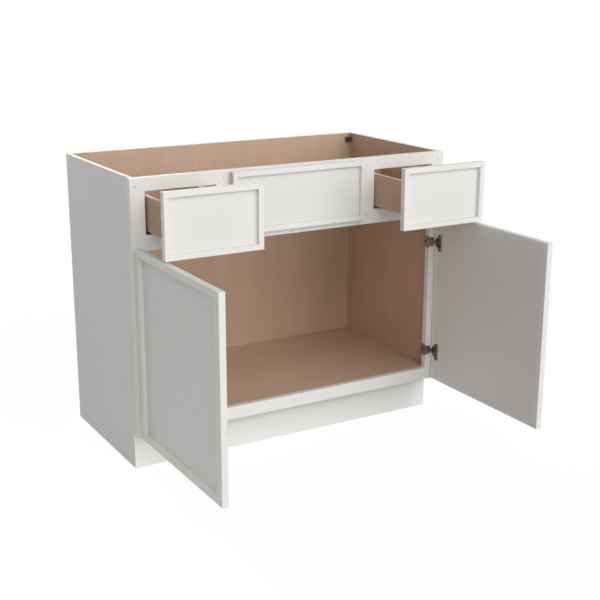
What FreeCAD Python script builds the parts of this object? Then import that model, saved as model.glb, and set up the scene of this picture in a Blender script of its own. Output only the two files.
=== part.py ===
import FreeCAD, Part
import os

# Framed sink base cabinet, painted outside, bare veneer inside, with an open top for the sink.
# Top row: a drawer at each side of a fixed false front. Below: two doors over one opening.
#
# Axes: +X to the right, -Y to the front, +Z up. Origin: middle of the width, wall plane, floor.
# Every piece is built with doors and drawers closed; place() then moves what hangs on a joint
# to the rest pose, which is doors open and drawers partly out. The right half mirrors the left.

V = FreeCAD.Vector

# ---- Carcass (mm) ----
cabinet_width = 1066.8          # over the face frame
cabinet_depth = 533.4           # wall to the front of the face frame
cabinet_height = 876.3
frame_overhang = 6.35           # face frame past each side panel
side_thickness = 12.7
back_thickness = 12.7
floor_thickness = 12.7
toe_board_thickness = 12.7
toe_kick_height = 114.3
toe_kick_recess = 52.0          # front of the face frame to the front of the toe board

# ---- Face frame ----
frame_thickness = 19.0
stile_width = 44.1
mullion_width = 76.2
top_rail_height = 38.1
middle_rail_height = 44.5
bottom_rail_height = 40.0
frame_edge_round = 0.8
drawer_opening_width = 218.7
drawer_opening_height = 124.0

# ---- Doors, drawer fronts and false front ----
front_thickness = 19.0
front_recess = 11.0             # how far the panel lies behind the front face
rabbet_width = 8.0              # panel edge covered by the frame's lip
bumper_gap = 2.5                # back of a closed front to the face frame
edge_round = 1.5
lip_round = 0.8
side_reveal = 6.35              # face frame left showing at each side
top_reveal = 4.0
bottom_reveal = 4.0
front_spacing = 6.35            # between two fronts of the top row, and above the doors
door_meeting_gap = 8.0
drawer_front_width = 294.6
drawer_front_height = 184.15
small_border = 16.0             # frame of a drawer front or of the false front
door_stile_width = 26.0
door_rail_height = 20.0

# ---- Rest pose ----
door_rest_angle = 90.0
drawer_rest_travel = 194.0

# ---- Hinges: single-pivot, cup in the door, bracket wrapped round the frame's inner edge ----
hinge_end_distance = 98.0       # door end to hinge centre
pin_from_edge = 7.5
pin_depth = 10.5                # below the door's back face
pin_radius = 1.25
pin_half_length = 9.4
pin_play = 0.06
eye_wall = 0.95
cup_radius = 17.5
cup_from_edge = 20.0
cup_depth = 6.8                 # shallow, to stay inside the door's panel
cup_wall = 0.8
pocket_floor_gap = 0.6          # under the arm's eye
pocket_end = 24.0               # the deep pocket's far wall, from the door's edge
ear_thickness = 1.5
ear_gap = 0.4
ear_margin = 2.2
flange_thickness = 0.9
flange_half_height = 28.0
flange_far_radius = 3.5
flange_near_radius = 14.0       # wings drawn in towards the door's edge
flange_near = 14.0
flange_far = 37.5
arm_half_height = 5.6
arm_thickness = 1.9
arm_post_gap = 0.4              # arm's post to the pocket's far wall
arm_foot_thickness = 2.0
arm_foot_length = 12.0
bracket_thickness = 1.2
bracket_tab_length = 20.0
bracket_tab_half_height = 15.0
bracket_plate_depth = 24.0
bracket_plate_half_height = 20.0
bracket_plate_taper = 8.0
bracket_tab_radius = 3.0
bracket_screw_depth = 15.2      # front of the face frame to the screw through the plate

# ---- Drawer boxes ----
box_side_gap = 8.3              # frame opening to the side of the box
box_board = 12.7
box_height = 100.0
box_edge_round = 1.5
box_rear_clearance = 66.0       # closed box to the back panel
box_under_clearance = 8.5       # lower edge of the box above the opening's lower edge
bottom_thickness = 6.35
bottom_setback = 12.7           # lower edge of the box to the underside of its bottom
groove_depth = 6.0

# ---- Undermount runners: three nested channels ----
runner_sheet = 1.2
runner_play = 0.4
runner_inner_width = 17.6       # over the fixed member's channel
runner_front_setback = 3.0      # fixed member's base behind the front of the face frame
runner_from_box_side = 1.0      # drawer member to the inside of the box side
runner_start_gap = 1.5          # channels behind the box front
runner_end_gap = 3.0            # channels short of the box's rear end
runner_flange_height = 20.0
base_rear_gap = 47.0            # rear end of the fixed base to the back panel
socket_overlap = 12.0           # shelf of a rear socket under the base
socket_thickness = 4.0
socket_half_rise = 25.0
socket_screw_rise = 18.0
socket_wing = 6.0
clip_length = 30.0
clip_width = 18.0
clip_height = 6.0

# ---- Fittings ----
corner_block_leg = 20.0
corner_block_height = 18.0
corner_block_drop = 13.0        # rim of the cabinet to the top of a block
corner_block_bore = 4.5         # upright hole for the worktop screw
corner_block_bore_offset = 5.5
corner_screw_offset = 13.0
corner_screw_seat = 4.0         # wall to the underside of the head
bumper_radius = 4.5
bumper_edge_round = 0.7
bumper_play = 0.2
bumper_inset = 7.0
screw_shank = 3.5
screw_head = 7.0
screw_head_height = 2.0
screw_head_round = 0.3
screw_slot_width = 1.0
screw_slot_depth = 0.8
screw_length = 14.0
long_screw_length = 30.0
long_screw_inset = 60.0         # end of the false front to each of its screws
cup_screw_length = 7.0
cup_screw_head_height = 1.2
cup_screw_offset = 22.5
arm_screw_length = 13.0
front_screw_spacing = 110.0
front_screw_grip = 6.0          # drawer front screws into the back of the panel

# ---- Values worked out from those above ----
frame_half = cabinet_width / 2
box_half = frame_half - frame_overhang
inner_half = box_half - side_thickness
frame_front = -cabinet_depth
frame_back = frame_front + frame_thickness
back_face = -back_thickness
top_rail_bottom = cabinet_height - top_rail_height
opening_bottom = top_rail_bottom - drawer_opening_height
middle_rail_bottom = opening_bottom - middle_rail_height
floor_top = toe_kick_height + bottom_rail_height
stile_inner = -frame_half + stile_width
opening_right = stile_inner + drawer_opening_width
mullion_right = opening_right + mullion_width

fronts_back = frame_front - bumper_gap
fronts_face = fronts_back - front_thickness
fronts_left = -frame_half + side_reveal
fronts_top = cabinet_height - top_reveal
fronts_bottom = fronts_top - drawer_front_height
drawer_front_right = fronts_left + drawer_front_width
false_front_half = -(drawer_front_right + front_spacing)
door_top = fronts_bottom - front_spacing
door_bottom = toe_kick_height + bottom_reveal
door_free_edge = -door_meeting_gap / 2
hinge_heights = (door_bottom + hinge_end_distance, door_top - hinge_end_distance)
pin_x = fronts_left + pin_from_edge
pin_y = fronts_back - pin_depth

box_left = stile_inner + box_side_gap
box_right = opening_right - box_side_gap
box_bottom = opening_bottom + box_under_clearance
box_back = back_face - box_rear_clearance
bottom_underside = box_bottom + bottom_setback
channel_front = fronts_back + box_board + runner_start_gap
channel_back = box_back - runner_end_gap

pieces = {}


def block(x0, x1, y0, y1, z0, z1):
    """A box given by its two limits along each axis."""
    return Part.makeBox(x1 - x0, y1 - y0, z1 - z0, V(x0, y0, z0))


def rod(radius, start, end):
    """A round rod from one point to another."""
    run = end - start
    return Part.makeCylinder(radius, run.Length, start, run)


def prism(outline, z0, z1):
    """An upright prism over a closed outline of (x, y) corners."""
    corners = [V(x, y, z0) for x, y in outline]
    face = Part.Face(Part.makePolygon(corners + corners[:1]))
    return face.extrude(V(0, 0, z1 - z0))


def mirrored(shape):
    """The same piece on the right half of the cabinet."""
    return shape.mirror(V(0, 0, 0), V(1, 0, 0))


def mirrored_about(shape, x):
    """The same piece on the other side of the upright plane at x."""
    return shape.mirror(V(x, 0, 0), V(1, 0, 0))


def join(shapes):
    """One solid out of pieces that touch or overlap."""
    result = shapes[0]
    for shape in shapes[1:]:
        result = result.fuse(shape)
    return result.removeSplitter()


def add(name, *solids):
    """Keeps one sub-part: a single solid, or a group of separate ones."""
    pieces[name] = solids[0] if len(solids) == 1 else Part.makeCompound(list(solids))


def pierce(names, tools):
    """Cuts the holes that the given tools, such as screws, pass through."""
    for name in names:
        for tool in tools:
            pieces[name] = pieces[name].cut(tool)


def screw(seat, direction, length, head_height=screw_head_height):
    """A pan-head screw with a cross slot: seat is the point under its head."""
    head = Part.makeCylinder(screw_head / 2, head_height)
    rim = [edge for edge in head.Edges if edge.BoundBox.ZMin > head_height / 2]
    head = head.makeFillet(screw_head_round, rim)
    reach = screw_head / 4
    half = screw_slot_width / 2
    for x, y in ((reach, half), (half, reach)):
        head = head.cut(block(-x, x, -y, y, head_height - screw_slot_depth, head_height))
    shank = Part.makeCylinder(screw_shank / 2, length, V(0, 0, 0), V(0, 0, -1))
    result = head.fuse(shank).removeSplitter()
    result.Placement = FreeCAD.Placement(seat, FreeCAD.Rotation(V(0, 0, -1), direction))
    return result


# ---- Carcass ----
def make_carcass():
    toe_back = frame_front + toe_kick_recess + toe_board_thickness
    side = block(-box_half, -inner_half, frame_back, 0, 0, cabinet_height)
    side = side.cut(block(-box_half, -inner_half, frame_back, toe_back, 0, toe_kick_height))
    add("left_side_panel", side)
    add("right_side_panel", mirrored(side))
    add("back_panel", block(-inner_half, inner_half, back_face, 0, 0, cabinet_height))
    add("floor_panel", block(-inner_half, inner_half, frame_back, back_face,
                             floor_top - floor_thickness, floor_top))
    add("toe_board", block(-box_half, box_half, toe_back - toe_board_thickness, toe_back,
                           0, toe_kick_height))


def make_face_frame():
    """Stiles, rails and mullions; the arrises that face the room are eased together."""
    middle_left = mullion_right
    windows = [
        block(stile_inner, opening_right, frame_front, frame_back, opening_bottom, top_rail_bottom),
        block(middle_left, -middle_left, frame_front, frame_back, opening_bottom, top_rail_bottom),
        block(-opening_right, -stile_inner, frame_front, frame_back, opening_bottom, top_rail_bottom),
        block(stile_inner, -stile_inner, frame_front, frame_back, floor_top, middle_rail_bottom),
    ]
    blank = block(-frame_half, frame_half, frame_front, frame_back, toe_kick_height, cabinet_height)
    for window in windows:
        blank = blank.cut(window)
    blank = blank.makeFillet(frame_edge_round, [edge for edge in blank.Edges if in_front_plane(edge)])
    members = {
        "left_stile": (-frame_half, stile_inner, toe_kick_height, cabinet_height),
        "right_stile": (-stile_inner, frame_half, toe_kick_height, cabinet_height),
        "top_rail": (stile_inner, -stile_inner, top_rail_bottom, cabinet_height),
        "middle_rail": (stile_inner, -stile_inner, middle_rail_bottom, opening_bottom),
        "bottom_rail": (stile_inner, -stile_inner, toe_kick_height, floor_top),
        "left_mullion": (opening_right, mullion_right, opening_bottom, top_rail_bottom),
        "right_mullion": (-mullion_right, -opening_right, opening_bottom, top_rail_bottom),
    }
    for name, (x0, x1, z0, z1) in members.items():
        member = blank.common(block(x0, x1, frame_front, frame_back, z0, z1))
        add("frame_" + name, member.Solids[0])


def in_front_plane(edge):
    """True for an edge that lies in the front face of the face frame."""
    reach = edge.BoundBox
    return abs(reach.YMin - frame_front) < 0.01 and abs(reach.YMax - frame_front) < 0.01


# ---- Framed fronts ----
def make_front(x0, x1, z0, z1, border_x, border_z):
    """Two stiles, two rails and the recessed panel of one closed front."""
    lip_back = fronts_face + front_recess
    blank = block(x0, x1, fronts_face, fronts_back, z0, z1)
    blank = blank.makeFillet(edge_round, blank.Edges)
    window = block(x0 + border_x, x1 - border_x, fronts_face, fronts_back, z0 + border_z, z1 - border_z)
    panel = block(x0 + border_x - rabbet_width, x1 - border_x + rabbet_width, lip_back, fronts_back,
                  z0 + border_z - rabbet_width, z1 - border_z + rabbet_width)
    frame = blank.cut(window).cut(panel)
    lip = [edge for edge in frame.Edges if on_lip(edge, x0 + border_x, x1 - border_x,
                                                  z0 + border_z, z1 - border_z)]
    frame = frame.makeFillet(lip_round, lip)
    stiles = []
    for outer, inner in ((x0, x0 + border_x), (x1, x1 - border_x)):
        inward = 1 if inner > outer else -1
        back_inner = inner - inward * rabbet_width
        front_zone = block(min(outer, inner), max(outer, inner), fronts_face, lip_back, z0, z1)
        back_zone = block(min(outer, back_inner), max(outer, back_inner), lip_back, fronts_back, z0, z1)
        zone = front_zone.fuse(back_zone)
        stiles.append(frame.common(zone).Solids[0])
        frame = frame.cut(zone)
    rails = sorted(frame.Solids, key=lambda solid: solid.CenterOfMass.z)
    return stiles, rails, panel


def on_lip(edge, x0, x1, z0, z1):
    """True for the four straight edges round the window in the front face."""
    reach = edge.BoundBox
    flat = abs(reach.YMin - fronts_face) < 0.01 and abs(reach.YMax - fronts_face) < 0.01
    across = reach.XMin > x0 - 0.01 and reach.XMax < x1 + 0.01
    upright = reach.ZMin > z0 - 0.01 and reach.ZMax < z1 + 0.01
    return flat and across and upright


def make_doors():
    stiles, rails, panel = make_front(fronts_left, door_free_edge, door_bottom, door_top,
                                      door_stile_width, door_rail_height)
    bores = [cup_blank(height) for height in hinge_heights]
    for side, turn in (("left", lambda shape: shape), ("right", mirrored)):
        add(side + "_door_hinge_stile", turn(stiles[0]))
        add(side + "_door_free_stile", turn(stiles[1]))
        add(side + "_door_rails", *[turn(rail) for rail in rails])
        add(side + "_door_panel", turn(panel))
        pierce([side + "_door_hinge_stile", side + "_door_panel"], [turn(bore) for bore in bores])


def make_drawer_fronts():
    stiles, rails, panel = make_front(fronts_left, drawer_front_right, fronts_bottom, fronts_top,
                                      small_border, small_border)
    for side, turn in (("left", lambda shape: shape), ("right", mirrored)):
        add(side + "_drawer_front_frame", *[turn(solid) for solid in stiles + rails])
        add(side + "_drawer_front_panel", turn(panel))


def make_false_front():
    stiles, rails, panel = make_front(-false_front_half, false_front_half, fronts_bottom, fronts_top,
                                      small_border, small_border)
    add("false_front_frame", *(stiles + rails))
    add("false_front_panel", panel)


# ---- Hinges ----
def cup_blank(height):
    """What the cup fills: a round bore, and a deeper pocket for the arm's eye near the edge."""
    x = fronts_left + cup_from_edge
    bore = rod(cup_radius, V(x, fronts_back, height), V(x, fronts_back - cup_depth, height))
    deep = rod(cup_radius, V(x, fronts_back, height), V(x, pocket_floor() - cup_wall, height))
    near = block(x - cup_radius, fronts_left + pocket_end, pocket_floor() - cup_wall, fronts_back,
                 height - cup_radius, height + cup_radius)
    return bore.fuse(deep.common(near)).removeSplitter()


def pocket_floor():
    return pin_y - pin_radius - pin_play - eye_wall - pocket_floor_gap


def cup_hollow(height):
    """The open inside of the cup."""
    x = fronts_left + cup_from_edge
    radius = cup_radius - cup_wall
    mouth = fronts_back + flange_thickness
    bore = rod(radius, V(x, mouth, height), V(x, fronts_back - cup_depth + cup_wall, height))
    deep = rod(radius, V(x, mouth, height), V(x, pocket_floor(), height))
    near = block(x - radius, fronts_left + pocket_end - cup_wall, pocket_floor(), mouth,
                 height - radius, height + radius)
    return bore.fuse(deep.common(near)).removeSplitter()


def hinge_pin(height):
    half = V(0, 0, pin_half_length)
    centre = V(pin_x, pin_y, height)
    return rod(pin_radius, centre - half, centre + half)


def round_corners(sheet, x, radius):
    """Rounds the corners of a sheet that faces the front, at its edge at x."""
    corners = [edge for edge in sheet.Edges if edge.BoundBox.YLength > edge.BoundBox.ZLength
               and abs(edge.BoundBox.Center.x - x) < 0.01]
    return sheet.makeFillet(radius, corners)


def hinge_cup(height):
    """Stamped cup with its flange and the two ears that hold the pin."""
    near = fronts_left + flange_near
    far = fronts_left + flange_far
    flange = block(near, far, fronts_back, fronts_back + flange_thickness,
                   height - flange_half_height, height + flange_half_height)
    flange = round_corners(flange, near, flange_near_radius)
    flange = round_corners(flange, far, flange_far_radius)
    x = fronts_left + cup_from_edge
    rim = rod(cup_radius, V(x, fronts_back, height), V(x, fronts_back + flange_thickness, height))
    shell = join([cup_blank(height), flange, rim]).cut(cup_hollow(height))
    ears = []
    for sign in (-1, 1):
        z = sorted((height + sign * (arm_half_height + ear_gap),
                    height + sign * (arm_half_height + ear_gap + ear_thickness)))
        ears.append(block(pin_x - ear_margin, pin_x + ear_margin, pocket_floor(),
                          pin_y + ear_margin, z[0], z[1]))
    return join([shell] + ears).cut(hinge_pin(height))


def hinge_arm(height):
    """Fixed arm: foot on the bracket, post into the cup, tongue with the eye round the pin."""
    low = height - arm_half_height
    high = height + arm_half_height
    outer = pin_radius + pin_play + eye_wall
    post_far = fronts_left + pocket_end - cup_wall - arm_post_gap
    post_near = post_far - arm_thickness
    tongue_low = pin_y - outer
    tab_face = frame_front - bracket_thickness
    tongue = block(pin_x, post_far, tongue_low, tongue_low + arm_thickness, low, high)
    post = block(post_near, post_far, tongue_low, tab_face, low, high)
    foot = block(post_near, post_near + arm_foot_length, tab_face - arm_foot_thickness, tab_face, low, high)
    eye = rod(outer, V(pin_x, pin_y, low), V(pin_x, pin_y, high))
    bore = rod(pin_radius + pin_play, V(pin_x, pin_y, low), V(pin_x, pin_y, high))
    return join([tongue, post, foot, eye]).cut(bore)


def arm_screw_seat(height):
    post_far = fronts_left + pocket_end - cup_wall - arm_post_gap
    x = (post_far + post_far - arm_thickness + arm_foot_length) / 2
    return V(x, frame_front - bracket_thickness - arm_foot_thickness, height)


def hinge_bracket(height):
    """Sheet bracket: a tab on the frame's front face and a plate on its inner edge."""
    outer = stile_inner + bracket_thickness
    tab = block(outer - bracket_tab_length, outer, frame_front - bracket_thickness, frame_front,
                height - bracket_tab_half_height, height + bracket_tab_half_height)
    tab = round_corners(tab, outer - bracket_tab_length, bracket_tab_radius)
    plate = block(stile_inner, outer, frame_front - bracket_thickness,
                  frame_front + bracket_plate_depth,
                  height - bracket_plate_half_height, height + bracket_plate_half_height)
    rear = frame_front + bracket_plate_depth
    corners = [edge for edge in plate.Edges
               if edge.BoundBox.XLength > bracket_thickness / 2 and edge.BoundBox.YMin > rear - 0.01]
    plate = plate.makeChamfer(bracket_plate_taper, corners)
    return join([tab, plate])


def make_hinges():
    brackets, arms, cups, pins, frame_screws, cup_screws = [], [], [], [], [], []
    for height in hinge_heights:
        arms.append(hinge_arm(height))
        brackets.append(hinge_bracket(height))
        cups.append(hinge_cup(height))
        pins.append(hinge_pin(height))
        frame_screws.append(screw(arm_screw_seat(height), V(0, 1, 0), arm_screw_length))
        plate_seat = V(stile_inner + bracket_thickness, frame_front + bracket_screw_depth, height)
        frame_screws.append(screw(plate_seat, V(-1, 0, 0), screw_length))
        for sign in (-1, 1):
            seat = V(fronts_left + (flange_near + flange_far) / 2, fronts_back + flange_thickness,
                     height + sign * cup_screw_offset)
            cup_screws.append(screw(seat, V(0, -1, 0), cup_screw_length, cup_screw_head_height))
    both = [frame_screws, [mirrored(solid) for solid in frame_screws]]
    add("hinge_arms", *arms, *[mirrored(solid) for solid in arms])
    add("hinge_brackets", *brackets, *[mirrored(solid) for solid in brackets])
    add("hinge_screws", *both[0], *both[1])
    pierce(["hinge_arms", "hinge_brackets"], both[0] + both[1])
    pierce(["frame_left_stile"], both[0])
    pierce(["frame_right_stile"], both[1])
    for side, turn in (("left", lambda shape: shape), ("right", mirrored)):
        screws = [turn(solid) for solid in cup_screws]
        add(side + "_door_hinge_cups", *[turn(solid) for solid in cups])
        add(side + "_door_hinge_pins", *[turn(solid) for solid in pins])
        add(side + "_door_cup_screws", *screws)
        pierce([side + "_door_hinge_cups", side + "_door_hinge_stile", side + "_door_panel"], screws)


# ---- Drawer boxes ----
def ease_top(board):
    """Rounds the two long arrises along the top of a drawer board."""
    top = board.BoundBox.ZMax
    length = max(board.BoundBox.XLength, board.BoundBox.YLength)
    arrises = [edge for edge in board.Edges
               if edge.BoundBox.ZMin > top - 0.01 and edge.Length > length - 0.01]
    return board.makeFillet(box_edge_round, arrises)


def make_drawer_boxes():
    top = box_bottom + box_height
    left = ease_top(block(box_left, box_left + box_board, fronts_back, box_back, box_bottom, top))
    middle = (box_left + box_right) / 2
    right = mirrored_about(left, middle)
    inner_left = box_left + box_board
    inner_right = box_right - box_board
    front = ease_top(block(inner_left, inner_right, fronts_back, fronts_back + box_board, box_bottom, top))
    back = ease_top(block(inner_left, inner_right, box_back - box_board, box_back, box_bottom, top))
    notch = block(inner_left, runner_span()[1] + runner_from_box_side, box_back - box_board, box_back,
                  box_bottom, bottom_underside)
    back = back.cut(notch).cut(mirrored_about(notch, middle))
    bottom = block(inner_left - groove_depth, inner_right + groove_depth,
                   fronts_back + box_board - groove_depth, box_back - box_board + groove_depth,
                   bottom_underside, bottom_underside + bottom_thickness)
    screws = []
    for sign in (-1, 1):
        seat = V(middle + sign * front_screw_spacing / 2, fronts_back + box_board,
                 box_bottom + box_height / 2)
        screws.append(screw(seat, V(0, -1, 0), box_board + front_screw_grip))
    for side, turn in (("left", lambda shape: shape), ("right", mirrored)):
        name = side + "_drawer"
        add(name + "_sides", turn(left), turn(right))
        add(name + "_box_front", turn(front))
        add(name + "_box_back", turn(back))
        add(name + "_bottom", turn(bottom))
        add(name + "_front_screws", *[turn(solid) for solid in screws])
        pierce([name + "_sides", name + "_box_front", name + "_box_back"], [turn(bottom)])
        pierce([name + "_box_front", name + "_front_panel"], [turn(solid) for solid in screws])


# ---- Runners ----
def runner_span():
    """Left and right limits of the drawer member, with two more channels nested inside it."""
    left = box_left + box_board + runner_from_box_side
    nested_walls = 2 * 2
    return left, left + runner_inner_width + nested_walls * (runner_sheet + runner_play)


def channel(level, foot):
    """One of the nested channels, open below: level 0 is the drawer's, 2 the fixed one."""
    inset = level * (runner_sheet + runner_play)
    left, right = runner_span()
    roof = bottom_underside - inset
    outer = block(left + inset, right - inset, channel_front, channel_back, foot, roof)
    inner = block(left + inset + runner_sheet, right - inset - runner_sheet,
                  channel_front, channel_back, foot, roof - runner_sheet)
    return outer.cut(inner)


def fixed_runner():
    """Base plate on the rail, flange against the frame's edge and the innermost channel."""
    base_top = opening_bottom + runner_sheet
    front = frame_front + runner_front_setback
    rear = back_face - base_rear_gap
    right = runner_span()[1] - 2 * (runner_sheet + runner_play)
    base = block(stile_inner, right, front, rear, opening_bottom, base_top)
    flange = block(stile_inner, stile_inner + runner_sheet, front, rear,
                   opening_bottom, opening_bottom + runner_flange_height)
    return join([base, flange, channel(2, base_top)])


def rear_socket():
    """Shelf that carries the base's rear end, with a plate on the back panel."""
    right = runner_span()[1]
    shelf = block(stile_inner, right, back_face - base_rear_gap - socket_overlap, back_face,
                  opening_bottom - socket_thickness, opening_bottom)
    plate = block(stile_inner - socket_wing, right + socket_wing, back_face - socket_thickness, back_face,
                  opening_bottom - socket_half_rise, opening_bottom + socket_half_rise)
    return join([shelf, plate])


def make_runners():
    middle = (stile_inner + opening_right) / 2
    foot = opening_bottom + runner_sheet + runner_play
    left, right = runner_span()
    clip = block(right, right + clip_width, fronts_back + box_board, fronts_back + box_board + clip_length,
                 bottom_underside - clip_height, bottom_underside)
    flange_face = stile_inner + runner_sheet
    front_seat = V(flange_face, frame_front + frame_thickness / 2, opening_bottom + runner_flange_height / 2)
    rear_plate = back_face - socket_thickness
    screws = [screw(front_seat, V(-1, 0, 0), screw_length)]
    for sign in (-1, 1):
        seat = V((stile_inner + right) / 2, rear_plate, opening_bottom + sign * socket_screw_rise)
        screws.append(screw(seat, V(0, 1, 0), screw_length))
    rows = {
        "middle_runners": channel(1, foot),
        "box_runners": channel(0, foot),
        "lock_clips": clip,
    }
    pair = {name: [shape, mirrored_about(shape, middle)] for name, shape in rows.items()}
    screws += [mirrored_about(solid, middle) for solid in screws]
    for side, turn in (("left", lambda shape: shape), ("right", mirrored)):
        for name, shapes in pair.items():
            add(side + "_" + name, *[turn(shape) for shape in shapes])
    for name, shape in (("fixed_runners", fixed_runner()), ("rear_runner_sockets", rear_socket())):
        both = [shape, mirrored_about(shape, middle)]
        add(name, *both, *[mirrored(solid) for solid in both])
    all_screws = screws + [mirrored(solid) for solid in screws]
    add("runner_screws", *all_screws)
    pierce(["fixed_runners", "rear_runner_sockets", "back_panel", "frame_left_stile",
            "frame_right_stile", "frame_left_mullion", "frame_right_mullion"], all_screws)


# ---- Small fittings ----
def make_corner_blocks():
    top = cabinet_height - corner_block_drop
    height = top - corner_block_height / 2
    blocks, screws = [], []
    for y, inward in ((back_face, -1), (frame_back, 1)):
        corner = prism([(-inner_half, y), (-inner_half + corner_block_leg, y),
                        (-inner_half, y + inward * corner_block_leg)], top - corner_block_height, top)
        bore_x = -inner_half + corner_block_bore_offset
        bore_y = y + inward * corner_block_bore_offset
        foot = top - corner_block_height
        corner = corner.cut(rod(corner_block_bore / 2, V(bore_x, bore_y, foot), V(bore_x, bore_y, top)))
        seats = ((V(-inner_half + corner_screw_seat, y + inward * corner_screw_offset, height), V(-1, 0, 0)),
                 (V(-inner_half + corner_screw_offset, y + inward * corner_screw_seat, height),
                  V(0, -inward, 0)))
        for seat, direction in seats:
            access = rod(screw_head / 2, seat, seat - direction * corner_block_leg)
            corner = corner.cut(access)
            screws.append(screw(seat, direction, screw_length))
        blocks.append(corner)
    right_screws = [mirrored(solid) for solid in screws]
    add("corner_blocks", *blocks, *[mirrored(solid) for solid in blocks])
    add("corner_block_screws", *screws, *right_screws)
    pierce(["corner_blocks", "back_panel", "left_side_panel", "right_side_panel",
            "frame_left_stile", "frame_right_stile"], screws + right_screws)


def make_bumpers():
    """Soft pads on the face frame that the closed doors and drawer fronts come to rest on."""
    thickness = bumper_gap - bumper_play
    lower_row = (opening_bottom + fronts_bottom) / 2
    upper_row = (top_rail_bottom + fronts_top) / 2
    left_column = fronts_left + bumper_radius + bumper_inset
    right_column = drawer_front_right - bumper_radius - bumper_inset
    centres = [(x, z) for x in (left_column, right_column) for z in (lower_row, upper_row)]
    centres.append((door_free_edge - bumper_radius - bumper_inset, (middle_rail_bottom + door_top) / 2))
    centres.append((door_free_edge - bumper_radius - bumper_inset, (floor_top + door_bottom) / 2))
    pads = []
    for x, z in centres:
        pad = rod(bumper_radius, V(x, frame_front, z), V(x, frame_front - thickness, z))
        rim = [edge for edge in pad.Edges if edge.BoundBox.YMax < frame_front - thickness / 2]
        pads.append(pad.makeFillet(bumper_edge_round, rim))
    add("frame_bumpers", *pads, *[mirrored(pad) for pad in pads])


def make_false_front_fixing():
    """Long screws through the mullions, each with a spacer washer in the gap."""
    x = -false_front_half + small_border / 2
    screws, washers = [], []
    for z in (fronts_bottom + long_screw_inset, fronts_top - long_screw_inset):
        screws.append(screw(V(x, frame_back, z), V(0, -1, 0), long_screw_length))
        washers.append(rod(screw_head, V(x, frame_front, z), V(x, fronts_back, z)))
    screws += [mirrored(solid) for solid in screws]
    washers += [mirrored(solid) for solid in washers]
    add("false_front_screws", *screws)
    add("false_front_washers", *washers)
    pierce(["false_front_washers", "false_front_frame", "false_front_panel", "frame_left_mullion",
            "frame_right_mullion"], screws)


# ---- Rest pose ----
def place(shape, name):
    """Moves a piece from the closed position to where it lies at rest."""
    shape = shape.copy()
    for side, sign in (("left", -1), ("right", 1)):
        if name.startswith(side + "_door"):
            shape.rotate(V(-sign * pin_x, pin_y, 0), V(0, 0, 1),
                         sign * door_rest_angle)
        if name.startswith((side + "_drawer", side + "_box_runners", side + "_lock_clips")):
            shape.translate(V(0, -drawer_rest_travel, 0))
        if name.startswith(side + "_middle_runners"):
            shape.translate(V(0, -drawer_rest_travel / 2, 0))
    return shape


make_carcass()
make_face_frame()
make_doors()
make_drawer_fronts()
make_false_front()
make_hinges()
make_drawer_boxes()
make_runners()
make_corner_blocks()
make_bumpers()
make_false_front_fixing()

os.makedirs("parts", exist_ok=True)
for name, shape in pieces.items():
    place(shape, name).exportStep("parts/" + name + ".step")
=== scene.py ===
import fnmatch
import math

import bpy
from mathutils import Matrix, Vector


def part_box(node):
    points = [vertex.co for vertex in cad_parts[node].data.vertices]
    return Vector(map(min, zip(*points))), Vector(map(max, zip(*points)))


# Looks for a framed sink base cabinet: satin off-white paint outside, tan wood veneer inside.
# Metres, in the part's own frame: +X right, -Y front, +Z up, origin on the floor at the wall.

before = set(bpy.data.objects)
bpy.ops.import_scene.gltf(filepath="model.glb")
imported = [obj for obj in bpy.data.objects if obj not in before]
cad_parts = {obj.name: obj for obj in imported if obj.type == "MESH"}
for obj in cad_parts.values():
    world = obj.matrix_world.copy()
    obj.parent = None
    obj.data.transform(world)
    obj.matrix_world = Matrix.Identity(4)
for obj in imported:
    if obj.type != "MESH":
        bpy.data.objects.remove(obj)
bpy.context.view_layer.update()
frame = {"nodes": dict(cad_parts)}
nodes = frame["nodes"]

# ---- Camera ----
CAMERA_PLACE = Vector((-1.65632, -3.37236, 1.39219))
CAMERA_YAW = math.radians(30.361)       # turned from +Y towards +X
CAMERA_PITCH = math.radians(15.855)     # looking down
CAMERA_ROLL = math.radians(-0.149)
SENSOR_WIDTH = 36.0
FOCAL_LENGTH = 67.18

# ---- Light: where each soft lamp stands, as an angle round the cabinet from its front and a height ----
WORLD_LEVEL = 0.02             # what the surroundings add to the lamps
WORLD_SEEN = 1.0               # plain white where they are seen
LAMPS = {                      # turn, height and width in degrees, then strength
    "front_lamp": (30.0, 15.0, 50.0, 1.38),
    "left_lamp": (-30.0, 15.0, 50.0, 0.50),
    "upper_lamp": (0.0, 45.0, 50.0, 1.16),
    "rear_lamp": (180.0, 20.0, 50.0, 2.00),
    "rear_left_lamp": (-150.0, 30.0, 50.0, 0.45),
}
FLOOR_SIZE = 14.0
FLOOR_DROP = 0.0005            # keeps the floor just under the feet of the cabinet
FLOOR_TONE = (0.8, 0.8, 0.8, 1.0)
FLOOR_WHITE = 0.90             # how much of the floor the camera sees as plain white
FLOOR_GLOW = 1.045             # brings the open floor level with the background

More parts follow.
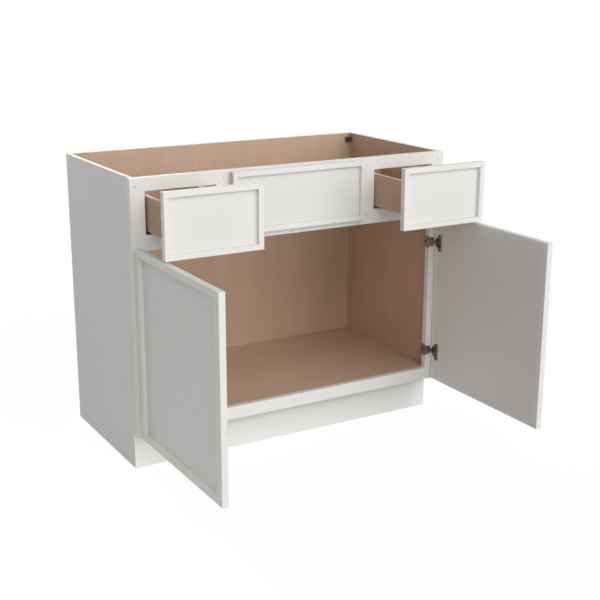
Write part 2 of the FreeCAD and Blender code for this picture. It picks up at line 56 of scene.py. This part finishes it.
# ---- Colours (linear) ----
FRAME_PAINT = (0.839, 0.833, 0.807)
FRAME_PAINT_DRIFT = (0.826, 0.818, 0.789)
PANEL_PAINT = (0.803, 0.797, 0.778)
PANEL_PAINT_DRIFT = (0.791, 0.784, 0.762)
SIDE_PAINT = (0.782, 0.772, 0.762)
SIDE_PAINT_DRIFT = (0.770, 0.758, 0.746)
# painted shade: darker tone for the arrises, partly a thinner film, and for the level faces
THIN_FILM_AND_SHADE_PAINT = (0.700, 0.692, 0.664)
VENEER = (0.610, 0.435, 0.318)
VENEER_DARK = (0.530, 0.366, 0.261)
WOOD_PORE = (0.330, 0.205, 0.135)
MAPLE = (0.600, 0.420, 0.300)
MAPLE_DARK = (0.490, 0.325, 0.225)
PLY_LIGHT = (0.740, 0.670, 0.600)
PLY_DARK = (0.540, 0.440, 0.360)
# rim tones: partly edge banding, partly a painted highlight for light falling on the top edges
BANDING_AND_HIGHLIGHT = (0.660, 0.480, 0.350)
BANDING_AND_HIGHLIGHT_DARK = (0.590, 0.410, 0.290)
BROWN_PLASTIC = (0.080, 0.050, 0.034)
GREY_PLASTIC = (0.240, 0.240, 0.235)
CLEAR_PLASTIC = (0.858, 0.851, 0.824)
ZINC = (0.600, 0.600, 0.590)
# painted shade: nickel darker than bare plating, standing in for the shade the hinges sit in
NICKEL_WITH_SHADE = (0.450, 0.432, 0.410)
SCREW_STEEL = (0.420, 0.415, 0.400)
DARK_STEEL = (0.130, 0.120, 0.110)

# ---- Stretches of a noise's value that a tone or a gloss follows; it seldom leaves 0.3 to 0.7 ----
WHOLE = (0.30, 0.70)
MIDDLE = (0.35, 0.65)
WIDE = (0.25, 0.75)
UPPER = (0.45, 0.75)
BROAD_STREAKS = (0.40, 0.70)
FIBRE_STREAKS = (0.42, 0.72)
BAND_STREAKS = (0.35, 0.75)
PLATING_CLOUDS = (0.35, 0.70)
PORE_TIPS = (0.66, 0.74)

# ---- Stretches of how squarely a face looks along an axis, where one surface gives way to another ----
FACE_STEP = (0.40, 0.60)
LEVEL_SHADE_STEP = (0.60, 0.90)
ARRIS_STEP = (1.00, 0.80)

# ---- Paint film: scales are per metre, shares say how far one tone gives way to another ----
FILM_DRIFT = 2.6
FILM_CLOUD = 23.0
CLOUD_SHARE = 0.35
ARRIS_REACH = 0.0016           # how far the thin film and the painted shade line run in from an arris
ARRIS_FILM_AND_SHADE_SHARE = 0.55
ARRIS_POLISH = 0.35
LEVEL_SHADE_SHARE = 0.45             # painted shade: how far level faces are darkened toward the edge tone
FILM_GLOSS = (0.34, 0.47)
FILM_REFLECTION = 0.22
PEEL = 430.0
PEEL_DEPTH = 0.00006
COVERED_FIBRES = (520.0, 7.0)  # across the grain, then with it
COVERED_FIBRE_DEPTH = 0.00005

# ---- Wood ----
BOARD = 0.0127
PLIES = 9.0
PLY_STEP = (-0.25, 0.25)
PAINT_BORDER = 0.001           # half of the join between paint and bare ply
END_GRAIN = 1400.0
END_GRAIN_SHARE = 0.45
LEAF_WIDTH = 0.170             # one sheet of veneer on a board
LEAF_SHARE = 0.22
FIGURE = 6.0                   # flames per metre across the grain
FIGURE_LENGTH = 0.11           # with the grain, as a part of that
FIGURE_WAVER = 0.35
RINGS = 60.0                   # how closely the growth rings follow the flame
RING_SHARE = 0.30
BROAD_FIGURE = (2.4, 0.5)      # wider streaks across the grain and with it, as parts of the figure
BROAD_SHARE = 0.45
FIBRES = (900.0, 14.0)
FIBRE_SHARE = 0.55
FIBRE_RISE = 0.35
PORES = (1500.0, 60.0)
PORE_SHARE = 0.55
BAND_SHARE = 0.6
GRAIN_DEPTH = 0.00005
VENEER_GLOSS = (0.40, 0.52)
VENEER_REFLECTION = 0.3
DRAWER_GLOSS = (0.40, 0.54)
DRAWER_REFLECTION = 0.2

# ---- Plastic ----
BROWN_ROUGHNESS = 0.42
GREY_ROUGHNESS = 0.45
MOULD_FLOW = 60.0
MOULD_FLOW_SHARE = 0.4
MOULD_SHADE = 0.8              # darkest part of the flow
MOULD_TEXTURE = 2200.0
MOULD_DEPTH = 0.00004
MOULD_GLOSS = (-0.06, 0.08)    # either side of the roughness
HAZE = 700.0
HAZE_SHADE = 0.9
HAZE_DEPTH = 0.00002
BUMPER_GLOSS = (0.40, 0.54)
BUMPER_IOR = 1.40
BUMPER_SCATTER = 0.35
BUMPER_SCATTER_REACH = 0.004

# ---- Metal ----
ZINC_ROUGHNESS = 0.36
ZINC_SPANGLE = 0.35
NICKEL_ROUGHNESS = 0.30
SCREW_ROUGHNESS = 0.33
DARK_ROUGHNESS = 0.34
DRAW_LINES = (2600.0, 18.0)
DRAW_DEPTH = 0.00002
PLATING = 45.0
PLATING_SHARE = 0.5
PLATING_SHADE = 0.72
SPANGLES = 220.0
SPANGLE_SHADE = 1.25
METAL_CLOUD = 0.6              # weight of the cloud beside the draw lines
METAL_STREAKS = (0.50, 1.10)   # lines and cloud together
METAL_GLOSS = (-0.08, 0.12)    # either side of the roughness


class Surface:
    """One material's node tree, with short calls for adding and wiring nodes."""

    def __init__(self, name):
        self.material = bpy.data.materials.new(name)
        self.material.use_nodes = True
        self.tree = self.material.node_tree
        self.tree.nodes.clear()
        self.shader = self.add("ShaderNodeBsdfPrincipled")
        output = self.add("ShaderNodeOutputMaterial")
        self.wire(self.shader.outputs["BSDF"], output.inputs["Surface"])
        self.object_place = self.add("ShaderNodeTexCoord").outputs["Object"]

    def add(self, kind, settings=None, values=None):
        node = self.tree.nodes.new(kind)
        for key, value in (settings or {}).items():
            setattr(node, key, value)
        for key, value in (values or {}).items():
            self.put(node.inputs[key], value)
        return node

    def wire(self, source, target):
        self.tree.links.new(source, target)

    def put(self, socket, value):
        """Gives a socket a constant, or the output that feeds it."""
        if isinstance(value, bpy.types.NodeSocket):
            self.wire(value, socket)
        elif isinstance(value, tuple) and len(value) == 3 and len(socket.default_value) == 4:
            socket.default_value = (*value, 1.0)
        else:
            socket.default_value = value

    def finish(self, **values):
        """Sets the shader's own sockets, named with underscores for spaces."""
        for key, value in values.items():
            self.put(self.shader.inputs[key.replace("_", " ")], value)
        return self.material

    def math(self, operation, first, second=0.0):
        node = self.add("ShaderNodeMath", {"operation": operation}, {0: first, 1: second})
        return node.outputs[0]

    def spread(self, source, low, high, to_low=0.0, to_high=1.0):
        """Maps a stretch of a value onto another stretch, clamped."""
        node = self.add("ShaderNodeMapRange", values={
            "Value": source, "From Min": low, "From Max": high, "To Min": to_low, "To Max": to_high})
        return node.outputs["Result"]

    def mix(self, factor, first, second):
        """Mixes two colours; the node keeps its colour sockets at places 6 and 7."""
        node = self.add("ShaderNodeMix", {"data_type": "RGBA"})
        self.put(node.inputs["Factor"], factor)
        self.put(node.inputs[6], first)
        self.put(node.inputs[7], second)
        return node.outputs[2]

    def blend(self, factor, first, second):
        """Mixes two numbers or two vectors."""
        kind = "VECTOR" if first.type == "VECTOR" else "FLOAT"
        node = self.add("ShaderNodeMix", {"data_type": kind})
        start = {"FLOAT": 2, "VECTOR": 4}[kind]
        self.put(node.inputs["Factor"], factor)
        self.put(node.inputs[start], first)
        self.put(node.inputs[start + 1], second)
        return node.outputs[{"FLOAT": 0, "VECTOR": 1}[kind]]

    def place(self, scale):
        """Object coordinates in metres, stretched axis by axis."""
        return self.add("ShaderNodeMapping", values={"Vector": self.object_place, "Scale": scale}).outputs[0]

    def coordinate(self, axis):
        """One object coordinate in metres."""
        return self.add("ShaderNodeSeparateXYZ", values={0: self.object_place}).outputs["xyz".index(axis)]

    def facing(self, axis):
        """How squarely the surface faces along an axis, either way, from 0 to 1."""
        normal = self.add("ShaderNodeTexCoord").outputs["Normal"]
        part = self.add("ShaderNodeSeparateXYZ", values={0: normal}).outputs["xyz".index(axis)]
        return self.math("ABSOLUTE", part)

    def noise(self, scale, detail=2.0, rough=0.5, distortion=0.0):
        """Noise over the object; the scale is per metre, one number or one for each axis."""
        stretch = scale if isinstance(scale, tuple) else (scale, scale, scale)
        node = self.add("ShaderNodeTexNoise", values={
            "Vector": self.place(stretch), "Scale": 1.0, "Detail": detail, "Roughness": rough,
            "Distortion": distortion})
        return node.outputs["Fac"]

    def bump(self, height, depth, under=None):
        values = {"Height": height, "Distance": depth}
        if under is not None:
            values["Normal"] = under
        return self.add("ShaderNodeBump", values=values).outputs["Normal"]

    def edge(self, radius):
        """0 on flat faces, rising to 1 on the arrises."""
        soft = self.add("ShaderNodeBevel", {"samples": 4}, {"Radius": radius}).outputs[0]
        flat = self.add("ShaderNodeNewGeometry").outputs["Normal"]
        dot = self.add("ShaderNodeVectorMath", {"operation": "DOT_PRODUCT"}, {0: soft, 1: flat})
        return self.spread(dot.outputs["Value"], *ARRIS_STEP)


def along(grain, fine, long):
    """Texture scale for each axis: fine across the grain, long with it."""
    return tuple(long if axis == grain else fine for axis in "xyz")


def shade(colour, amount):
    return tuple(amount * part for part in colour)


# ---- Paint ----
def paint_coat(s, colour, drifted):
    """Tone, gloss and relief of sprayed satin paint: slow drift, orange peel, thinner film on arrises, with
    painted shade darkening the arrises and the level faces.
    """
    drift = s.noise(FILM_DRIFT)
    cloud = s.noise(FILM_CLOUD, detail=3.0)
    tone = s.mix(s.spread(drift, *MIDDLE), colour, drifted)
    tone = s.mix(s.spread(cloud, *UPPER, 0.0, CLOUD_SHARE), tone, drifted)
    worn_and_shaded = s.edge(ARRIS_REACH)
    # painted shade: arrises darkened, partly thinner film and partly a painted shadow line
    tone = s.mix(s.math("MULTIPLY", worn_and_shaded, ARRIS_FILM_AND_SHADE_SHARE), tone, THIN_FILM_AND_SHADE_PAINT)
    # painted shade: faces looking up or down are darkened
    tone = s.mix(s.spread(s.facing("z"), *LEVEL_SHADE_STEP, 0.0, LEVEL_SHADE_SHARE), tone, THIN_FILM_AND_SHADE_PAINT)
    polish = s.math("SUBTRACT", cloud, s.math("MULTIPLY", worn_and_shaded, ARRIS_POLISH))
    gloss = s.spread(polish, *WIDE, *FILM_GLOSS)
    peel = s.noise(PEEL, detail=2.0, rough=0.35)
    return tone, gloss, s.bump(peel, PEEL_DEPTH)


def paint(name, colour, drifted, grain=None):
    """Painted wood; a grain axis adds the fibres that show faintly through the film."""
    s = Surface(name)
    tone, gloss, relief = paint_coat(s, colour, drifted)
    if grain:
        fibres = s.noise(along(grain, *COVERED_FIBRES), detail=3.0, rough=0.6)
        relief = s.bump(fibres, COVERED_FIBRE_DEPTH, relief)
    return s.finish(Base_Color=tone, Roughness=gloss, Specular_IOR_Level=FILM_REFLECTION, Normal=relief)


# ---- Wood ----
def wood_tone(s, grain, light, dark, leaf=None):
    """Colour and height of sliced hardwood: flame figure, fibres and short pores along one axis."""
    flame = s.noise(along(grain, FIGURE, FIGURE * FIGURE_LENGTH), distortion=FIGURE_WAVER)
    rings = s.spread(s.math("SINE", s.math("MULTIPLY", flame, RINGS)), -1.0, 1.0)
    broad = s.noise(along(grain, BROAD_FIGURE[0] * FIGURE, BROAD_FIGURE[1] * FIGURE), detail=1.0)
    fibres = s.noise(along(grain, *FIBRES), detail=3.0, rough=0.65)
    pores = s.spread(s.noise(along(grain, *PORES), detail=1.0), *PORE_TIPS)
    tone = s.mix(s.math("MULTIPLY", rings, RING_SHARE), light, dark)
    tone = s.mix(s.spread(broad, *BROAD_STREAKS, 0.0, BROAD_SHARE), tone, dark)
    tone = s.mix(s.spread(fibres, *FIBRE_STREAKS, 0.0, FIBRE_SHARE), tone, dark)
    if leaf:
        across, width = leaf
        sheet = s.math("FLOOR", s.math("DIVIDE", s.coordinate(across), width))
        own = s.add("ShaderNodeTexWhiteNoise", {"noise_dimensions": "1D"}, {"W": sheet}).outputs["Value"]
        tone = s.mix(s.math("MULTIPLY", own, LEAF_SHARE), tone, dark)
    tone = s.mix(s.math("MULTIPLY", pores, PORE_SHARE), tone, WOOD_PORE)
    return tone, s.math("SUBTRACT", s.math("MULTIPLY", fibres, FIBRE_RISE), pores), fibres


def ply_tone(s, axis, start):
    """Cut edge of plywood: light and dark plies across the board's thickness, with end-grain specks."""
    depth = s.math("SUBTRACT", s.math("ABSOLUTE", s.coordinate(axis)), start)
    wave = s.math("SINE", s.math("MULTIPLY", depth, math.pi * PLIES / BOARD))
    tone = s.mix(s.spread(wave, *PLY_STEP), PLY_LIGHT, PLY_DARK)
    return s.mix(s.spread(s.noise(END_GRAIN), *UPPER, 0.0, END_GRAIN_SHARE), tone, PLY_DARK)


def veneer(name, grain, leaf_axis, edge_axis, edge_start, painted_outside=False):
    """Clear-coated veneer on plywood, with the plies bare at the board's cut edges."""
    s = Surface(name)
    tone, height, fibres = wood_tone(s, grain, VENEER, VENEER_DARK, leaf=(leaf_axis, LEAF_WIDTH))
    gloss = s.spread(fibres, *WHOLE, *VENEER_GLOSS)
    relief = s.bump(height, GRAIN_DEPTH)
    if painted_outside:
        coat, coat_gloss, coat_relief = paint_coat(s, SIDE_PAINT, SIDE_PAINT_DRIFT)
        middle = edge_start + BOARD / 2
        from_centre = s.math("ABSOLUTE", s.coordinate(edge_axis))
        outside = s.spread(from_centre, middle - PAINT_BORDER, middle + PAINT_BORDER)
        tone = s.mix(outside, tone, coat)
        gloss = s.blend(outside, gloss, coat_gloss)
        relief = s.blend(outside, relief, coat_relief)
    face = s.spread(s.facing(edge_axis), *FACE_STEP)
    tone = s.mix(face, ply_tone(s, edge_axis, edge_start), tone)
    return s.finish(Base_Color=tone, Roughness=gloss, Specular_IOR_Level=VENEER_REFLECTION, Normal=relief)


def drawer_wood(name, grain):
    """Lacquered drawer board with a pale rim on its level faces, partly banding and partly a painted
    highlight.
    """
    s = Surface(name)
    tone, height, fibres = wood_tone(s, grain, MAPLE, MAPLE_DARK)
    band_and_highlight = s.mix(s.spread(fibres, *BAND_STREAKS, 0.0, BAND_SHARE), BANDING_AND_HIGHLIGHT, BANDING_AND_HIGHLIGHT_DARK)
    # painted highlight: level faces of the boards take the lighter rim tone
    highlit_rim = s.spread(s.facing("z"), *FACE_STEP)
    return s.finish(Base_Color=s.mix(highlit_rim, tone, band_and_highlight), Roughness=s.spread(fibres, *WHOLE, *DRAWER_GLOSS),
                    Specular_IOR_Level=DRAWER_REFLECTION, Normal=s.bump(height, GRAIN_DEPTH))


# ---- Plastic and metal ----
def plastic(name, colour, rough):
    """Moulded plastic: spark-eroded texture and a faint flow in its tone."""
    s = Surface(name)
    flow = s.noise(MOULD_FLOW, detail=3.0)
    tone = s.mix(s.spread(flow, *WHOLE, 0.0, MOULD_FLOW_SHARE), colour, shade(colour, MOULD_SHADE))
    texture = s.noise(MOULD_TEXTURE, detail=2.0, rough=0.6)
    gloss = s.spread(texture, *WHOLE, rough + MOULD_GLOSS[0], rough + MOULD_GLOSS[1])
    return s.finish(Base_Color=tone, Roughness=gloss, Normal=s.bump(texture, MOULD_DEPTH))


def metal(name, colour, rough, grain, spangle=0.0):
    """Plated sheet steel: fine draw lines along one axis, cloudy plating and small rubbed spots."""
    s = Surface(name)
    lines = s.noise(along(grain, *DRAW_LINES), detail=2.0, rough=0.6)
    cloud = s.noise(PLATING, detail=4.0, rough=0.6)
    tone = s.mix(s.spread(cloud, *PLATING_CLOUDS, 0.0, PLATING_SHARE), colour, shade(colour, PLATING_SHADE))
    if spangle:
        cells = s.add("ShaderNodeTexVoronoi", {"feature": "F1"},
                      {"Vector": s.object_place, "Scale": SPANGLES})
        grey = s.add("ShaderNodeSeparateColor", values={"Color": cells.outputs["Color"]}).outputs[0]
        tone = s.mix(s.math("MULTIPLY", grey, spangle), tone, shade(colour, SPANGLE_SHADE))
    wear = s.math("ADD", lines, s.math("MULTIPLY", cloud, METAL_CLOUD))
    gloss = s.spread(wear, *METAL_STREAKS, rough + METAL_GLOSS[0], rough + METAL_GLOSS[1])
    return s.finish(Base_Color=tone, Metallic=1.0, Roughness=gloss, Normal=s.bump(lines, DRAW_DEPTH))


def clear_plastic(name):
    """Soft bumper: milky, with tiny bubbles in the relief."""
    s = Surface(name)
    haze = s.noise(HAZE, detail=2.0)
    tone = s.mix(s.spread(haze, *WHOLE), CLEAR_PLASTIC, shade(CLEAR_PLASTIC, HAZE_SHADE))
    return s.finish(Base_Color=tone, Roughness=s.spread(haze, *WHOLE, *BUMPER_GLOSS), IOR=BUMPER_IOR,
                    Subsurface_Weight=BUMPER_SCATTER, Subsurface_Scale=BUMPER_SCATTER_REACH,
                    Normal=s.bump(haze, HAZE_DEPTH))


def dress(material, *names):
    """Gives nodes a material; a name may start or end with a star."""
    for pattern in names:
        found = fnmatch.filter(nodes, pattern)
        assert found, pattern
        for name in found:
            slots = nodes[name].data.materials
            slots.clear()
            slots.append(material)


def dress_all():
    """Every node of the cabinet in its own material."""
    side_inner = abs(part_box("left_side_panel")[1][0])
    floor_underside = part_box("floor_panel")[0][2]
    dress(paint("paint_upright", FRAME_PAINT, FRAME_PAINT_DRIFT, "z"), "frame_*stile", "frame_*mullion",
          "*_door_*stile")
    dress(paint("paint_level", FRAME_PAINT, FRAME_PAINT_DRIFT, "x"), "frame_*rail", "*_door_rails",
          "*_drawer_front_frame", "false_front_frame", "toe_board")
    dress(paint("paint_panel", PANEL_PAINT, PANEL_PAINT_DRIFT), "*_door_panel", "*_drawer_front_panel",
          "false_front_panel")
    dress(veneer("side_board", "z", "y", "x", side_inner, painted_outside=True), "*_side_panel")
    dress(veneer("back_board", "z", "x", "y", 0.0), "back_panel")
    dress(veneer("floor_board", "x", "y", "z", floor_underside), "floor_panel")
    dress(drawer_wood("drawer_side_board", "y"), "*_drawer_sides")
    dress(drawer_wood("drawer_cross_board", "x"), "*_drawer_box_front", "*_drawer_box_back",
          "*_drawer_bottom")
    dress(plastic("brown_plastic", BROWN_PLASTIC, BROWN_ROUGHNESS), "corner_blocks")
    dress(plastic("grey_plastic", GREY_PLASTIC, GREY_ROUGHNESS), "rear_runner_sockets", "*_lock_clips")
    dress(clear_plastic("bumper_plastic"), "frame_bumpers")
    dress(metal("zinc", ZINC, ZINC_ROUGHNESS, "y", spangle=ZINC_SPANGLE), "fixed_runners",
          "*_middle_runners", "*_box_runners", "false_front_washers")
    dress(metal("nickel", NICKEL_WITH_SHADE, NICKEL_ROUGHNESS, "z"), "hinge_arms", "hinge_brackets", "*_hinge_cups",
          "*_hinge_pins")
    dress(metal("screw_steel", SCREW_STEEL, SCREW_ROUGHNESS, "z"), "*_drawer_front_screws",
          "false_front_screws", "runner_screws")
    dress(metal("dark_screw", DARK_STEEL, DARK_ROUGHNESS, "z"), "hinge_screws", "*_cup_screws",
          "corner_block_screws")


def make_camera():
    forward = Vector((math.sin(CAMERA_YAW) * math.cos(CAMERA_PITCH),
                      math.cos(CAMERA_YAW) * math.cos(CAMERA_PITCH), -math.sin(CAMERA_PITCH)))
    level = Vector((math.cos(CAMERA_YAW), -math.sin(CAMERA_YAW), 0.0))
    down = forward.cross(level)
    right = math.cos(CAMERA_ROLL) * level + math.sin(CAMERA_ROLL) * down
    up = math.sin(CAMERA_ROLL) * level - math.cos(CAMERA_ROLL) * down
    turn = Matrix((right, up, -forward)).transposed().to_4x4()
    data = bpy.data.cameras.new("camera")
    data.sensor_width = SENSOR_WIDTH
    data.lens = FOCAL_LENGTH
    camera = bpy.data.objects.new("camera", data)
    camera.matrix_world = Matrix.Translation(CAMERA_PLACE) @ turn
    bpy.context.scene.collection.objects.link(camera)
    bpy.context.scene.camera = camera


def make_world():
    """Even pale surroundings that camera, mirror and glass rays see as plain white."""
    world = bpy.data.worlds.new("studio")
    bpy.context.scene.world = world
    world.use_nodes = True
    tree = world.node_tree
    tree.nodes.clear()
    rays = tree.nodes.new("ShaderNodeLightPath")
    seen = tree.nodes.new("ShaderNodeMath")
    seen.operation = "MAXIMUM"
    also = tree.nodes.new("ShaderNodeMath")
    also.operation = "MAXIMUM"
    tree.links.new(rays.outputs["Is Camera Ray"], seen.inputs[0])
    tree.links.new(rays.outputs["Is Glossy Ray"], seen.inputs[1])
    tree.links.new(seen.outputs[0], also.inputs[0])
    tree.links.new(rays.outputs["Is Transmission Ray"], also.inputs[1])
    level = tree.nodes.new("ShaderNodeMapRange")
    level.inputs["To Min"].default_value = WORLD_LEVEL
    level.inputs["To Max"].default_value = WORLD_SEEN
    tree.links.new(also.outputs[0], level.inputs["Value"])
    background = tree.nodes.new("ShaderNodeBackground")
    background.inputs["Color"].default_value = (1.0, 1.0, 1.0, 1.0)
    tree.links.new(level.outputs["Result"], background.inputs["Strength"])
    output = tree.nodes.new("ShaderNodeOutputWorld")
    tree.links.new(background.outputs["Background"], output.inputs["Surface"])


def make_lamps():
    """Wide soft suns, each aimed back at the cabinet from its own place in the sky."""
    for name, (turn, height, width, level) in LAMPS.items():
        data = bpy.data.lights.new(name, "SUN")
        data.angle = math.radians(width)
        data.energy = level
        turn, height = math.radians(turn), math.radians(height)
        source = Vector((math.sin(turn) * math.cos(height), -math.cos(turn) * math.cos(height),
                         math.sin(height)))
        lamp = bpy.data.objects.new(name, data)
        lamp.matrix_world = source.to_track_quat("Z", "Y").to_matrix().to_4x4()
        bpy.context.scene.collection.objects.link(lamp)


def make_floor():
    """Matt floor that the camera sees as mostly white, so that only its shadows show."""
    bpy.ops.mesh.primitive_plane_add(size=FLOOR_SIZE, location=(0.0, 0.0, -FLOOR_DROP))
    floor = bpy.context.object
    floor.name = "floor"
    material = bpy.data.materials.new("floor")
    material.use_nodes = True
    tree = material.node_tree
    tree.nodes.clear()
    rays = tree.nodes.new("ShaderNodeLightPath")
    plain = tree.nodes.new("ShaderNodeBsdfDiffuse")
    plain.inputs["Color"].default_value = FLOOR_TONE
    glow = tree.nodes.new("ShaderNodeEmission")
    glow.inputs["Strength"].default_value = FLOOR_GLOW
    blend = tree.nodes.new("ShaderNodeMixShader")
    share = tree.nodes.new("ShaderNodeMath")
    share.operation = "MULTIPLY"
    share.inputs[1].default_value = FLOOR_WHITE
    tree.links.new(rays.outputs["Is Camera Ray"], share.inputs[0])
    tree.links.new(share.outputs[0], blend.inputs["Fac"])
    tree.links.new(plain.outputs["BSDF"], blend.inputs[1])
    tree.links.new(glow.outputs["Emission"], blend.inputs[2])
    output = tree.nodes.new("ShaderNodeOutputMaterial")
    tree.links.new(blend.outputs["Shader"], output.inputs["Surface"])
    floor.data.materials.append(material)


dress_all()
make_camera()
make_world()
make_lamps()
make_floor()
bpy.context.scene.view_settings.view_transform = "Standard"
